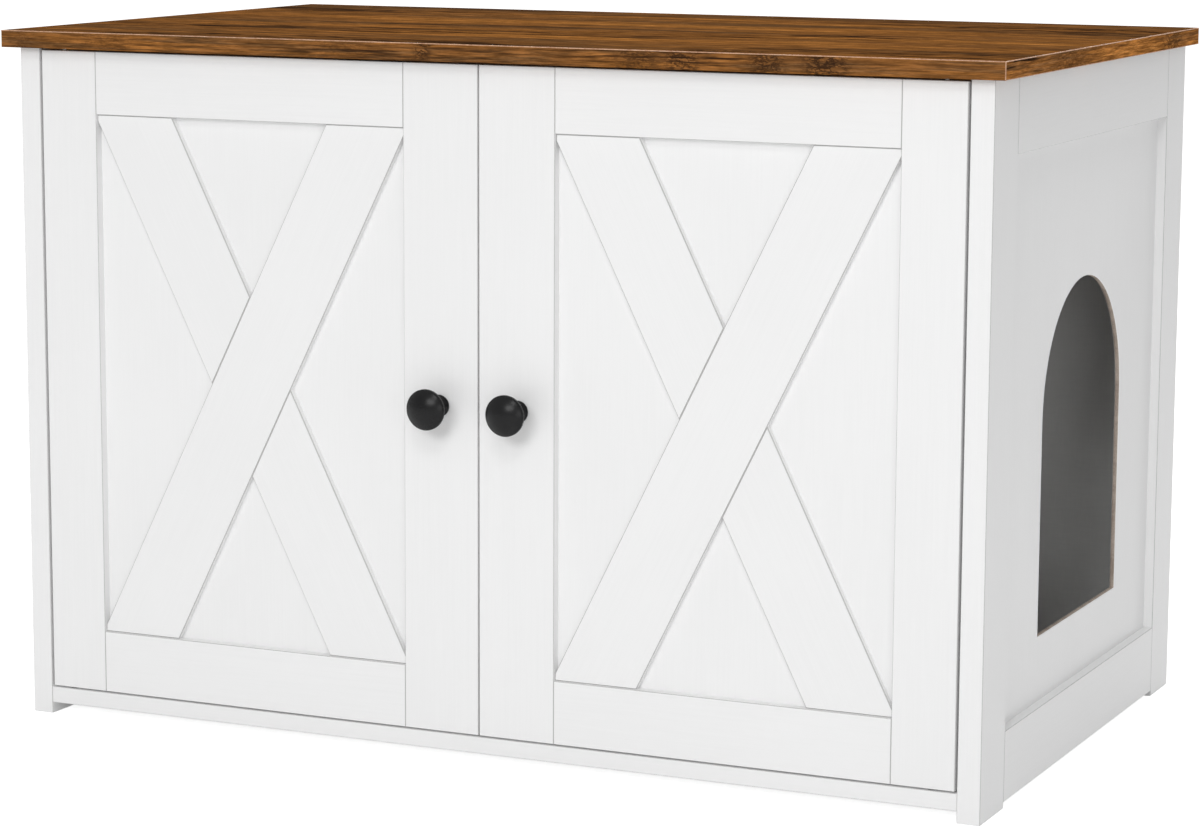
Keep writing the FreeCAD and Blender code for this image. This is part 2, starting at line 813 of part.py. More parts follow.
def door(name, sign):
    """The fourteen pieces of one door."""
    top_span = (door_opening_high, door_high)
    bottom_span = (door_low, door_opening_low)
    top_groove = (door_opening_high, door_opening_high + door_groove_depth)
    bottom_groove = (door_opening_low - door_groove_depth, door_opening_low)
    long_brace, lower_brace, upper_brace = braces(sign)
    prefix = name + "_door_"
    return {
        prefix + "outer_stile": outer_stile(sign),
        prefix + "meeting_stile": meeting_stile(sign),
        prefix + "top_rail": door_rail(sign, top_span, top_groove),
        prefix + "bottom_rail": door_rail(sign, bottom_span, bottom_groove),
        prefix + "panel": door_panel(sign),
        prefix + "long_brace": long_brace,
        prefix + "lower_brace": lower_brace,
        prefix + "upper_brace": upper_brace,
        prefix + "knob": knob(sign),
        prefix + "knob_screw": knob_screw(sign),
        prefix + "strike_plate": strike_plate(sign),
        prefix + "strike_screw": strike_screw(sign),
        prefix + "lower_pivot_pin": pivot_pin(sign, door_low, DOWN, door_bottom_gap),
        prefix + "upper_pivot_pin": pivot_pin(sign, door_high, UP, door_top_gap),
    }


def build():
    """Every piece of the cabinet by name, each a solid or a list of like solids."""
    nodes = {"top_board": top_board(), "bottom_board": bottom_board(), "back_panel": back_panel()}
    for name, sign in SIDES.items():
        nodes.update(side_frame(name, sign))
    nodes.update(knock_down_fittings())
    nodes.update(pivot_bushes())
    nodes.update(catches())
    for name, sign in SIDES.items():
        nodes.update(door(name, sign))
    return nodes


def write(nodes):
    """Writes each piece or group of like pieces to its own file."""
    os.makedirs("parts", exist_ok=True)
    for name, made in nodes.items():
        shape = Part.makeCompound(made) if isinstance(made, list) else made
        shape.exportStep("parts/" + name + ".step")
        print(name, len(shape.Solids), "solid(s), valid", shape.isValid())


write(build())
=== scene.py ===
"""A white cabinet that hides a cat's litter box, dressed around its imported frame.

Two inset doors with crossed braces and black knobs close the front, a brown
wood-print board covers the top, and an arched entrance opens the right side.
Lengths are in metres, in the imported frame's own axes: X runs along the doors,
Y from front to back and Z up from the floor.
"""

from __future__ import annotations

import logging
import math
from collections.abc import Callable, Iterable
from dataclasses import dataclass, field
from enum import Enum

import bmesh
import bpy
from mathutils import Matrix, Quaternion, Vector

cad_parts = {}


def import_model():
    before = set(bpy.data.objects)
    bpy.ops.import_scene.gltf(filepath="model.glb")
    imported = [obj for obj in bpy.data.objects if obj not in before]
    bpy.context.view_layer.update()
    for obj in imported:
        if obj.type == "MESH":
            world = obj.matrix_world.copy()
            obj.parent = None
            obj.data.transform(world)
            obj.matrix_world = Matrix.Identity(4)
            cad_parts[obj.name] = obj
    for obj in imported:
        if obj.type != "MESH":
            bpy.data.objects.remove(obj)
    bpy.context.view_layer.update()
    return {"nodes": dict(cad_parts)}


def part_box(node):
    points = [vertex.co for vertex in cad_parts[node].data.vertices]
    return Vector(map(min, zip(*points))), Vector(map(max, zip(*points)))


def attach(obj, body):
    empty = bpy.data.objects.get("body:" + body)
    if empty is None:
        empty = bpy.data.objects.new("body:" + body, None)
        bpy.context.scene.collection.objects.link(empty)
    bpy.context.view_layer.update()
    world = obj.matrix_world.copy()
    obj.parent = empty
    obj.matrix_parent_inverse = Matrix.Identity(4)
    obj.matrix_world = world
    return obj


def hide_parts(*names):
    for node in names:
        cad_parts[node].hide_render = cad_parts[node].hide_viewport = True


LOG = logging.getLogger("cabinet")

Colour = tuple[float, float, float, float]
Triple = tuple[float, float, float]
Pair = tuple[float, float]
Span = tuple[float, float]
Corners = tuple[Vector, Vector]
Socket = bpy.types.NodeSocket
Piece = bpy.types.Object

QUARTER_TURN = math.pi / 2
BRACE_LEAN = math.radians(26.0)
SOFT_ANGLE = math.radians(35.0)
MICRON = 1e-6
SQUARE_ON = 0.99
WHITE: Colour = (1.0, 1.0, 1.0, 1.0)

# The curve between a paint chip's steps and linear light.
CHIP_STEPS = 255
CURVE_KNEE, CURVE_SLOPE = 0.04045, 12.92
CURVE_OFFSET, CURVE_POWER = 0.055, 2.4

# The Mix node's sockets that hold its share, its two colours and its result.
MIX_SHARE, MIX_FIRST, MIX_SECOND, MIX_RESULT = 0, 6, 7, 2


def tint(red: int, green: int, blue: int) -> Colour:
    """The linear colour of a paint chip given in the usual 0 to 255 steps.

    Args:
        red: The chip's red step.
        green: The chip's green step.
        blue: The chip's blue step.

    Returns:
        The colour as a shader socket takes it.
    """
    shares = [step / CHIP_STEPS for step in (red, green, blue)]
    linear = [
        share / CURVE_SLOPE
        if share <= CURVE_KNEE
        else ((share + CURVE_OFFSET) / (1 + CURVE_OFFSET)) ** CURVE_POWER
        for share in shares
    ]
    return (linear[0], linear[1], linear[2], 1.0)


class Run(Enum):
    """The way a member's grain runs, as the turn that lays it on local Z."""

    UPRIGHT = (0.0, 0.0, 0.0)
    ACROSS = (0.0, QUARTER_TURN, 0.0)
    DEEP = (QUARTER_TURN, 0.0, 0.0)
    CLIMBING = (0.0, -BRACE_LEAN, 0.0)
    FALLING = (0.0, BRACE_LEAN, 0.0)


class Face(Enum):
    """The way a member's broad face looks, as the number of that axis."""

    SIDEWAYS = 0
    FORWARD = 1
    UPWARD = 2


class Side(Enum):
    """The two doors and their halves of the cabinet, as the sign of X."""

    LEFT = -1
    RIGHT = 1

    @property
    def word(self) -> str:
        """The side's name in the frame's node names."""
        return self.name.lower()


# ---- shader trees ----
class Graph:
    """A node tree that is filled through short calls, one node each."""

    def __init__(self, tree: bpy.types.NodeTree) -> None:
        """Empties the tree and keeps it.

        Args:
            tree: The node tree of a material or a world.
        """
        self.tree = tree
        tree.nodes.clear()

    def add(
        self, kind: str, inputs: dict[str | int, object] | None = None, **settings: object
    ) -> bpy.types.Node:
        """Adds a node, with its settings made and its inputs fed.

        Args:
            kind: The node's type name, after ShaderNode.
            inputs: Values or sockets for the node's inputs, by name or number.
            **settings: The node's own properties.

        Returns:
            The new node.
        """
        node = self.tree.nodes.new("ShaderNode" + kind)
        for name, value in settings.items():
            setattr(node, name, value)
        for key, value in (inputs or {}).items():
            if isinstance(value, Socket):
                self.tree.links.new(value, node.inputs[key])
            else:
                node.inputs[key].default_value = value
        return node

    def grain_place(self, run: Run) -> Socket:
        """Object coordinates, turned so that local Z follows the grain.

        Args:
            run: The way the grain runs.

        Returns:
            The turned coordinates.
        """
        place = self.add("TexCoord").outputs["Object"]
        if run is Run.UPRIGHT:
            return place
        return self.add("Mapping", {"Vector": place, "Rotation": run.value}).outputs[0]

    def stretch(self, place: Socket, along: float, across: float, shift: float = 0.0) -> Socket:
        """Coordinates scaled along and across the grain.

        Args:
            place: Coordinates whose local Z follows the grain.
            along: The scale along the grain.
            across: The scale across it.
            shift: An offset that tells two patterns of one scale apart.

        Returns:
            The scaled coordinates.
        """
        scale = (across, across, along)
        shifted = (shift, shift, shift)
        inputs = {"Vector": place, "Scale": scale, "Location": shifted}
        return self.add("Mapping", inputs).outputs[0]

    def noise(self, place: Socket, scale: float, detail: float, roughness: float) -> Socket:
        """A cloudy value from 0 to 1, about 0.5 on average.

        Args:
            place: The coordinates that it is drawn on.
            scale: How many clouds lie side by side on one unit of them.
            detail: How many finer layers lie on the clouds.
            roughness: How strong the finer layers are.

        Returns:
            The value.
        """
        inputs = {"Vector": place, "Scale": scale, "Detail": detail, "Roughness": roughness}
        return self.add("TexNoise", inputs).outputs[0]

    def math(self, operation: str, *values: object) -> Socket:
        """One step of arithmetic on values."""
        return self.add("Math", dict(enumerate(values)), operation=operation).outputs[0]

    def mean(self, first: Socket, second: Socket) -> Socket:
        """The value halfway between two others."""
        return self.math("MULTIPLY", self.math("ADD", first, second), 0.5)

    def remap(
        self, value: Socket, low: float, high: float, to_low: float = 0.0, to_high: float = 1.0
    ) -> Socket:
        """The value carried from one range to another and held inside it."""
        inputs = dict(enumerate((value, low, high, to_low, to_high)))
        return self.add("MapRange", inputs, interpolation_type="SMOOTHSTEP").outputs[0]

    def ridge(self, value: Socket) -> Socket:
        """A value that is 1 where the given one passes its middle."""
        centred = self.math("MULTIPLY_ADD", value, 2.0, -1.0)
        return self.math("SUBTRACT", 1.0, self.math("ABSOLUTE", centred))

    def mix(self, share: object, first: object, second: object, blend: str = "MIX") -> Socket:
        """Two colours mixed by a share of the second."""
        inputs = {MIX_SHARE: share, MIX_FIRST: first, MIX_SECOND: second}
        return self.add("Mix", inputs, data_type="RGBA", blend_type=blend).outputs[MIX_RESULT]

    def ramp(self, value: Socket, stops: Iterable[tuple[float, Colour]]) -> Socket:
        """A colour that is read along a row of stops.

        Args:
            value: Where to read, from 0 to 1.
            stops: Places on the row and their colours, in order.

        Returns:
            The colour at that place.
        """
        node = self.add("ValToRGB", {0: value})
        row = list(stops)
        elements = node.color_ramp.elements
        while len(elements) < len(row):
            elements.new(1.0)
        for element, (place, colour) in zip(elements, row):
            element.position, element.color = place, colour
        return node.outputs[0]

    def warp(self, place: Socket, push: Socket, reach: float) -> Socket:
        """Coordinates pushed about across the grain by a cloudy value.

        Args:
            place: Coordinates whose local Z follows the grain.
            push: The cloudy value.
            reach: The push between the value's two ends.

        Returns:
            The pushed coordinates.
        """
        pushed = self.math("MULTIPLY", self.math("SUBTRACT", push, 0.5), reach)
        both = self.add("CombineXYZ", {"X": pushed, "Y": pushed}).outputs[0]
        return self.add("VectorMath", {0: place, 1: both}, operation="ADD").outputs[0]

    def seen(self) -> Socket:
        """Tells what the camera sees straight, in gloss or through glass.

        Returns:
            1 for what it sees so, and 0 for all else.
        """
        path = self.add("LightPath").outputs
        gloss = self.math("MAXIMUM", path["Is Glossy Ray"], path["Is Transmission Ray"])
        return self.math("MAXIMUM", path["Is Camera Ray"], gloss)

    def bump(self, height: Socket, depth: float) -> Socket:
        """Relief from a height, as a normal."""
        return self.add("Bump", {"Height": height, "Distance": depth, "Strength": 1.0}).outputs[0]

    def surface(self, **inputs: object) -> None:
        """Ends the tree in a principled shader.

        Args:
            **inputs: Values or sockets for its inputs, with _ for each space.
        """
        named = {name.replace("_", " "): value for name, value in inputs.items()}
        shader = self.add("BsdfPrincipled", named)
        self.add("OutputMaterial", {"Surface": shader.outputs[0]})


@dataclass(frozen=True)
class Clouds:
    """An even cloudy pattern."""

    scale: float
    detail: float = 2.0
    roughness: float = 0.5

    def draw(self, graph: Graph, place: Socket) -> Socket:
        """The pattern's value at a place, from 0 to 1."""
        return graph.noise(place, self.scale, self.detail, self.roughness)


@dataclass(frozen=True)
class Strands:
    """A cloudy pattern that is drawn out along the grain."""

    along: float
    across: float
    detail: float = 2.0
    roughness: float = 0.5
    shift: float = 0.0

    def draw(self, graph: Graph, place: Socket, shift: float = 0.0) -> Socket:
        """The pattern's value at a place, from 0 to 1."""
        drawn_out = graph.stretch(place, self.along, self.across, self.shift + shift)
        return graph.noise(drawn_out, 1.0, self.detail, self.roughness)


Pattern = Clouds | Strands


# ---- finishes ----
@dataclass(frozen=True)
class Finish:
    """A surface finish that makes its own material once and then shares it."""

    name: str

    def material(self) -> bpy.types.Material:
        """Finds the finish's material, or makes it.

        Returns:
            The material.
        """
        made = bpy.data.materials.get(self.name)
        if made is None:
            made = bpy.data.materials.new(self.name)
            made.use_nodes = True
            self.fill(Graph(made.node_tree))
        return made

    def fill(self, graph: Graph) -> None:
        """Builds the material's nodes; each kind of finish has its own way."""
        raise NotImplementedError(self.name)


@dataclass(frozen=True)
class Lacquer(Finish):
    """White lacquer on fibreboard: a faint grain, orange peel and thin arrises.

    An arris is where the surface turns away from the member's broad face. Its grey tone is painted
    shade that darkens the seams between members; a tone lighter than the paint is a painted
    highlight.
    """

    run: Run = Run.UPRIGHT
    face: Face = Face.FORWARD
    light: Colour = tint(239, 239, 239)
    shade: Colour = tint(237, 237, 237)
    # Painted shade: this grey on arrises darkens the seams between members.
    arris: Colour = tint(190, 190, 189)
    clouds: Strands = Strands(5.0, 9.0)
    grain: Strands = Strands(14.0, 620.0, roughness=0.55)
    peel: Clouds = Clouds(420.0)
    mottled: Span = (0.35, 0.65)
    turning: Span = (0.15, 0.55)
    square: Span = (0.85, 0.97)
    grain_relief: float = 0.4
    gloss_marks: Span = (0.3, 0.7)
    roughness: Span = (0.37, 0.47)
    specular: float = 0.4
    depth: float = 0.000012

    def fill(self, graph: Graph) -> None:
        """Clouds and grain in the colour, the arris tone on arrises as painted shade (painted
        highlight where it is lighter), peel in the relief.

        Args:
            graph: The material's tree.
        """
        place = graph.grain_place(self.run)
        grain = self.grain.draw(graph, place)
        mottle = graph.mean(self.clouds.draw(graph, place), grain)
        paint = graph.mix(graph.remap(mottle, *self.mottled), self.shade, self.light)
        facing = graph.add("TexCoord").outputs["Normal"]
        part = graph.add("SeparateXYZ", {0: facing}).outputs[self.face.value]
        slant = graph.math("ABSOLUTE", part)
        rise = graph.remap(slant, *self.turning)
        fall = graph.remap(slant, *self.square, 1.0, 0.0)
        # Painted shade on arrises, and painted highlight where the arris tone is lighter than the
        # paint.
        painted_edge_tone = graph.mix(graph.math("MULTIPLY", rise, fall), paint, self.arris)
        peel = self.peel.draw(graph, place)
        relief = graph.math("ADD", peel, graph.math("MULTIPLY", grain, self.grain_relief))
        graph.surface(
            Base_Color=painted_edge_tone,
            Roughness=graph.remap(peel, *self.gloss_marks, *self.roughness),
            Specular_IOR_Level=self.specular,
            Normal=graph.bump(relief, self.depth),
        )


@dataclass(frozen=True)
class Hardboard(Finish):
    """The back's thin white-faced board, with the weave of its press cloth."""

    light: Colour = tint(236, 236, 234)
    shade: Colour = tint(229, 229, 227)
    warp: Strands = Strands(60.0, 900.0)
    weft: Strands = Strands(900.0, 60.0)
    clouds: Clouds = Clouds(6.0, 3.0)
    mottled: Span = (0.35, 0.65)
    gloss_marks: Span = (0.3, 0.7)
    roughness: Span = (0.5, 0.62)
    specular: float = 0.35
    depth: float = 0.00006

    def fill(self, graph: Graph) -> None:
        """Two crossed grains and soft clouds.

        Args:
            graph: The material's tree.
        """
        place = graph.grain_place(Run.UPRIGHT)
        weave = graph.mean(self.warp.draw(graph, place), self.weft.draw(graph, place))
        blotch = graph.mean(self.clouds.draw(graph, place), weave)
        graph.surface(
            Base_Color=graph.mix(graph.remap(blotch, *self.mottled), self.shade, self.light),
            Roughness=graph.remap(weave, *self.gloss_marks, *self.roughness),
            Specular_IOR_Level=self.specular,
            Normal=graph.bump(weave, self.depth),
        )


@dataclass(frozen=True)
class Patch:
    """A patch of the print: its place and reach along and across the grain.

    Its strength is full over the core, which is a share of its reach, and fades
    out from there.
    """

    middle: float
    reach: float
    strength: float
    aside: float = 0.0
    spread: float = 10.0
    core: float = 0.25


@dataclass(frozen=True)
class RusticPrint(Finish):
    """Printed foil of old brown timber: bands, lines, pores, cracks and burrs."""

    run: Run = Run.ACROSS
    shift: float = 0.0

    # How the grain wanders.
    wander: float = 0.05
    shiver_share: float = 0.16
    drift: Strands = Strands(2.2, 5.0)
    shiver: Strands = Strands(20.0, 40.0, 4.0)

    # The plain timber, from its darkest tone to its lightest.
    bands: Strands = Strands(1.1, 17.0)
    lines: Strands = Strands(4.0, 95.0, 6.0, 0.7)
    band_share: float = 0.4
    contrast: float = 0.85
    tone_places: tuple[float, ...] = (0.38, 0.44, 0.50, 0.56, 0.63)
    dark: Colour = tint(72, 46, 27)
    drab: Colour = tint(104, 74, 46)
    brown: Colour = tint(122, 80, 42)
    warm: Colour = tint(144, 94, 46)
    orange: Colour = tint(184, 124, 62)

    # Fine fibres and soft flecks, which lighten and darken it.
    fibres: Strands = Strands(40.0, 800.0, 4.0, 0.65)
    fibre_marks: Span = (0.32, 0.68)
    fibre_tone: Span = (0.60, 1.30)
    mottle: Strands = Strands(30.0, 150.0, 4.0, 0.7)
    mottle_marks: Span = (0.34, 0.66)
    mottle_tone: Span = (0.62, 1.3)

    # Golden stretches, and smoky streaks with frayed ends outside them.
    glows: tuple[Patch, ...] = ()
    glow_lift: float = 0.05
    smoke: float = 0.6
    plume: Strands = Strands(1.9, 27.2, 4.0, 0.6, 3.0)
    plume_marks: Span = (0.56, 0.68)
    split: Strands = Strands(12.0, 380.0, 3.0)
    fray: float = 0.3

    # Black cracks, and the patches that hold them.
    black: Colour = tint(44, 29, 20)
    veins: Strands = Strands(4.5, 44.2, 4.0, 0.6, 7.0)
    vein_marks: Span = (0.88, 0.98)
    cracked: Strands = Strands(2.2, 10.2, 1.0, shift=5.0)
    cracked_marks: Span = (0.50, 0.62)

    # Burrs, with curled wrinkles under a gloom.
    burrs: tuple[Patch, ...] = ()
    curl: Strands = Strands(70.0, 120.0, 3.0)
    curl_reach: float = 0.012
    gloom: Strands = Strands(34.0, 120.0, 3.0, shift=2.0)
    gloom_marks: Span = (0.42, 0.66)
    gloom_depth: float = 0.3
    wrinkles: Strands = Strands(75.0, 330.0, 3.0, 0.6)
    wrinkle_marks: Span = (0.80, 0.97)

    # The foil's gloss and relief.
    gloss_marks: Span = (0.3, 0.7)
    roughness: Span = (0.75, 0.62)
    specular: float = 0.0
    depth: float = 0.00006

    @staticmethod
    def strength_in(graph: Graph, place: Socket, patches: Iterable[Patch]) -> Socket | float:
        """How strongly a set of patches marks each point, from 0 to 1.

        Args:
            graph: The tree that is being filled.
            place: Coordinates whose local Z follows the grain.
            patches: The patches, of which the strongest counts.

        Returns:
            The strongest patch's share at the point.
        """
        parts = graph.add("SeparateXYZ", {0: place}).outputs
        strongest: Socket | float = 0.0
        for patch in patches:
            along = graph.math("ABSOLUTE", graph.math("SUBTRACT", parts["Z"], patch.middle))
            near = patch.core * patch.reach
            inside = graph.remap(along, near, patch.reach, patch.strength, 0.0)
            across = graph.math("ABSOLUTE", graph.math("SUBTRACT", parts["Y"], patch.aside))
            beside = graph.remap(across, patch.core * patch.spread, patch.spread, 1.0, 0.0)
            share = graph.math("MULTIPLY", inside, beside)
            strongest = graph.math("MAXIMUM", share, strongest)
        return strongest

    def timber(self, graph: Graph, place: Socket, glow: Socket | float) -> Socket:
        """The plain timber's colour, from broad bands and wandering lines.

        Args:
            graph: The tree that is being filled.
            place: Coordinates whose local Z follows the wandering grain.
            glow: The share of golden timber.

        Returns:
            Its colour.
        """
        bands = self.bands.draw(graph, place, self.shift)
        lines = self.lines.draw(graph, place, self.shift)
        mixed = graph.math(
            "ADD",
            graph.math("MULTIPLY", bands, self.band_share),
            graph.math("MULTIPLY", lines, 1 - self.band_share),
        )
        spread = graph.math("MULTIPLY", graph.math("SUBTRACT", mixed, 0.5), self.contrast)
        lit = graph.math("MULTIPLY_ADD", glow, self.glow_lift, 0.5)
        tones = (self.dark, self.drab, self.brown, self.warm, self.orange)
        return graph.ramp(graph.math("ADD", spread, lit), zip(self.tone_places, tones))

    def dappled(self, graph: Graph, place: Socket, fibres: Socket) -> Socket:
        """The light and dark of fine fibres and soft flecks, as a grey.

        Args:
            graph: The tree that is being filled.
            place: Coordinates whose local Z follows the wandering grain.
            fibres: The fibres' value.

        Returns:
            The grey that the timber's colour is multiplied by.
        """
        fine = graph.remap(fibres, *self.fibre_marks, *self.fibre_tone)
        flecks = self.mottle.draw(graph, place)
        soft = graph.remap(flecks, *self.mottle_marks, *self.mottle_tone)
        depth = graph.math("MULTIPLY", fine, soft)
        return graph.add("CombineColor", {0: depth, 1: depth, 2: depth}).outputs[0]

    def streaks(self, graph: Graph, place: Socket) -> Socket:
        """Long smoky streaks that thin out to points.

        Args:
            graph: The tree that is being filled.
            place: Coordinates whose local Z follows the wandering grain.

        Returns:
            Their share of dark.
        """
        wide = self.plume.draw(graph, place, self.shift)
        split = self.split.draw(graph, place, self.shift)
        frayed = graph.math("MULTIPLY", graph.math("SUBTRACT", split, 0.5), self.fray)
        return graph.remap(graph.math("ADD", wide, frayed), *self.plume_marks, 0.0, self.smoke)

    def cracks(self, graph: Graph, place: Socket) -> Socket:
        """Thin dark cracks along the grain, in patches.

        Args:
            graph: The tree that is being filled.
            place: Coordinates whose local Z follows the wandering grain.

        Returns:
            Their share of black.
        """
        veins = graph.ridge(self.veins.draw(graph, place, self.shift))
        patches = self.cracked.draw(graph, place, self.shift)
        return graph.math(
            "MULTIPLY",
            graph.remap(veins, *self.vein_marks),
            graph.remap(patches, *self.cracked_marks),
        )

    def knots(self, graph: Graph, straight: Socket, colour: Socket) -> tuple[Socket, Socket]:
        """The burrs: a gloom over the timber and black wrinkles in it.

        Args:
            graph: The tree that is being filled.
            straight: Coordinates whose local Z follows the straight grain.
            colour: The timber's colour.

        Returns:
            The colour under the gloom, and the wrinkles' share of black.
        """
        inside = self.strength_in(graph, straight, self.burrs)
        curled = graph.warp(straight, self.curl.draw(graph, straight), self.curl_reach)
        gloom = graph.remap(
            self.gloom.draw(graph, curled), *self.gloom_marks, 0.0, self.gloom_depth
        )
        shaded = graph.mix(graph.math("MULTIPLY", inside, gloom), colour, self.dark)
        wrinkles = graph.ridge(self.wrinkles.draw(graph, curled))
        folds = graph.remap(wrinkles, *self.wrinkle_marks)
        return shaded, graph.math("MULTIPLY", folds, inside)

    def fill(self, graph: Graph) -> None:
        """Stacks the print's layers, from its plain timber to its burrs.

        Args:
            graph: The material's tree.
        """
        straight = graph.grain_place(self.run)
        drift = self.drift.draw(graph, straight, self.shift)
        shiver = self.shiver.draw(graph, straight, self.shift)
        place = graph.warp(straight, drift, self.wander)
        place = graph.warp(place, shiver, self.shiver_share * self.wander)

        glow = self.strength_in(graph, straight, self.glows)
        fibres = self.fibres.draw(graph, place)
        grey = self.dappled(graph, place, fibres)
        colour = graph.mix(1.0, self.timber(graph, place, glow), grey, "MULTIPLY")
        unlit = graph.math("SUBTRACT", 1.0, glow)
        smoky = graph.math("MULTIPLY", self.streaks(graph, place), unlit)
        colour = graph.mix(smoky, colour, self.dark)
        blackness = self.cracks(graph, place)
        if self.burrs:
            colour, wrinkled = self.knots(graph, straight, colour)
            blackness = graph.math("MAXIMUM", blackness, wrinkled)
        graph.surface(
            Base_Color=graph.mix(blackness, colour, self.black),
            Roughness=graph.remap(fibres, *self.gloss_marks, *self.roughness),
            Specular_IOR_Level=self.specular,
            Normal=graph.bump(graph.math("SUBTRACT", fibres, blackness), self.depth),
        )


@dataclass(frozen=True)
class EdgePrint(RusticPrint):
    """The same print on an edge band: finer, calmer and with narrower streaks."""

    wander: float = 0.012
    bands: Strands = Strands(6.0, 70.0)
    lines: Strands = Strands(10.0, 420.0, 6.0, 0.7)
    contrast: float = 0.6
    dark: Colour = tint(84, 56, 34)
    orange: Colour = tint(166, 114, 62)
    mottle: Strands = Strands(30.0, 420.0, 4.0, 0.7)
    plume: Strands = Strands(1.9, 112.0, 4.0, 0.6, 3.0)
    black: Colour = tint(48, 32, 22)
    veins: Strands = Strands(4.5, 182.0, 4.0, 0.6, 7.0)
    cracked: Strands = Strands(2.2, 42.0, 1.0, shift=5.0)


@dataclass(frozen=True)
class Mottled(Finish):
    """A plain stock in two tones, with fine marks in its gloss and relief.

    A roughness with two equal ends is the same all over.
    """

    light: Colour = WHITE
    dark: Colour = WHITE
    roughness: Span = (0.5, 0.5)
    marks: Pattern = Clouds(1800.0)
    depth: float = 0.00002
    run: Run = Run.UPRIGHT
    clouds: tuple[Pattern, ...] = (Clouds(90.0),)
    mottled: Span = (0.35, 0.65)
    gloss_marks: Span = (0.3, 0.7)
    specular: float = 0.5
    metallic: float = 0.0

    def fill(self, graph: Graph) -> None:
        """Clouds in the colour, and marks in the gloss and the relief.

        Args:
            graph: The material's tree.
        """
        place = graph.grain_place(self.run)
        marks = self.marks.draw(graph, place)
        drawn = [pattern.draw(graph, place) for pattern in self.clouds]
        tone = graph.mean(*drawn) if len(drawn) > 1 else drawn[0]
        dull, glossy = self.roughness
        varied = dull != glossy
        graph.surface(
            Base_Color=graph.mix(graph.remap(tone, *self.mottled), self.dark, self.light),
            Metallic=self.metallic,
            Roughness=graph.remap(marks, *self.gloss_marks, dull, glossy) if varied else dull,
            Specular_IOR_Level=self.specular,
            Normal=graph.bump(marks, self.depth),
        )


@dataclass(frozen=True)
class PaleArris(Mottled):
    """The trimmed lip of an edge band, where its pale core shows."""

    light: Colour = tint(206, 164, 132)
    dark: Colour = tint(168, 122, 92)
    roughness: Span = (0.55, 0.55)
    marks: Pattern = Clouds(900.0)
    depth: float = 0.00005
    clouds: tuple[Pattern, ...] = (Clouds(160.0, 3.0), Clouds(900.0))
    mottled: Span = (0.35, 0.62)
    specular: float = 0.3


@dataclass(frozen=True)
class RawFibreboard(Mottled):
    """Bare sawn fibreboard: fine felt, pinkish grey-brown."""

    light: Colour = tint(206, 192, 180)
    dark: Colour = tint(166, 150, 138)
    roughness: Span = (0.85, 0.85)
    marks: Pattern = Clouds(1400.0, 3.0, 0.65)
    depth: float = 0.00012
    clouds: tuple[Pattern, ...] = (Clouds(1400.0, 3.0, 0.65), Clouds(70.0))
    mottled: Span = (0.36, 0.62)
    specular: float = 0.2


@dataclass(frozen=True)
class BlackEnamel(Mottled):
    """Satin black enamel on a cast knob, with a fine powder texture."""

    light: Colour = tint(14, 14, 15)
    dark: Colour = tint(7, 7, 8)
    roughness: Span = (0.23, 0.31)
    marks: Pattern = Clouds(2600.0)
    depth: float = 0.00001
    clouds: tuple[Pattern, ...] = (Clouds(60.0),)
    specular: float = 0.19


@dataclass(frozen=True)
class Metal(Mottled):
    """A bare or plated metal with fine tool marks."""

    light: Colour = tint(205, 205, 203)
    dark: Colour = tint(168, 169, 170)
    roughness: Span = (0.26, 0.42)
    marks: Pattern = Clouds(700.0, 3.0, 0.6)
    clouds: tuple[Pattern, ...] = (Clouds(140.0),)
    metallic: float = 1.0


@dataclass(frozen=True)
class Moulded(Mottled):
    """A moulded or sintered piece with a fine matte skin."""

    specular: float = 0.4


@dataclass(frozen=True)
class BeechWood(Mottled):
    """Bare turned beech, with short dark flecks along the grain."""

    light: Colour = tint(214, 178, 136)
    dark: Colour = tint(176, 132, 90)
    roughness: Span = (0.6, 0.6)
    marks: Pattern = Strands(60.0, 900.0, 3.0)
    depth: float = 0.00005
    run: Run = Run.ACROSS
    clouds: tuple[Pattern, ...] = (Strands(60.0, 900.0, 3.0), Strands(350.0, 1600.0, 1.0))
    mottled: Span = (0.36, 0.6)


PALE_ARRIS = PaleArris("pale_arris")
RAW_EDGE = RawFibreboard("raw_fibreboard")
ENAMEL = BlackEnamel("satin_black_enamel")
HARDBOARD = Hardboard("white_hardboard_faced")
BEECH = BeechWood("turned_beech")
ZINC_PLATE = Metal("zinc_plate")
CAST_ZINC = Metal(
    "cast_zinc_alloy",
    tint(176, 177, 178),
    tint(143, 144, 146),
    (0.38, 0.54),
    Clouds(420.0, 3.0, 0.6),
    0.00005,
)
# Painted shade: this steel is set darker than bright steel, so the pivot pins don't glint in the
# door gaps.
BRIGHT_STEEL = Metal(
    "bright_steel_stock", tint(170, 170, 168), tint(144, 144, 144), (0.28, 0.44)
)
# Painted shade: the pivot bushes are grey instead of white nylon, so their flanges read dark in the
# door gaps.
NYLON_GREYED_AS_SHADE = Moulded("grey_nylon", tint(94, 94, 95), tint(82, 82, 83), (0.40, 0.52))
WHITE_PLASTIC = Moulded("white_moulding", tint(236, 236, 233), tint(227, 227, 223), (0.34, 0.46))
FERRITE = Moulded("sintered_ferrite", tint(66, 66, 70), tint(44, 44, 47), (0.54, 0.66))


# ---- modelling by hand ----
def deselect_all() -> None:
    """Leaves nothing selected, so that an operator acts on its own piece alone."""
    for item in bpy.context.selected_objects:
        item.select_set(False)


def settle(piece: Piece, name: str) -> Piece:
    """Names a new piece and puts its place, turn and scale into its mesh.

    Args:
        piece: The new piece, selected and active.
        name: Its name.

    Returns:
        The same piece.
    """
    piece.name = piece.data.name = name
    bpy.ops.object.transform_apply(location=True, rotation=True, scale=True)
    return piece


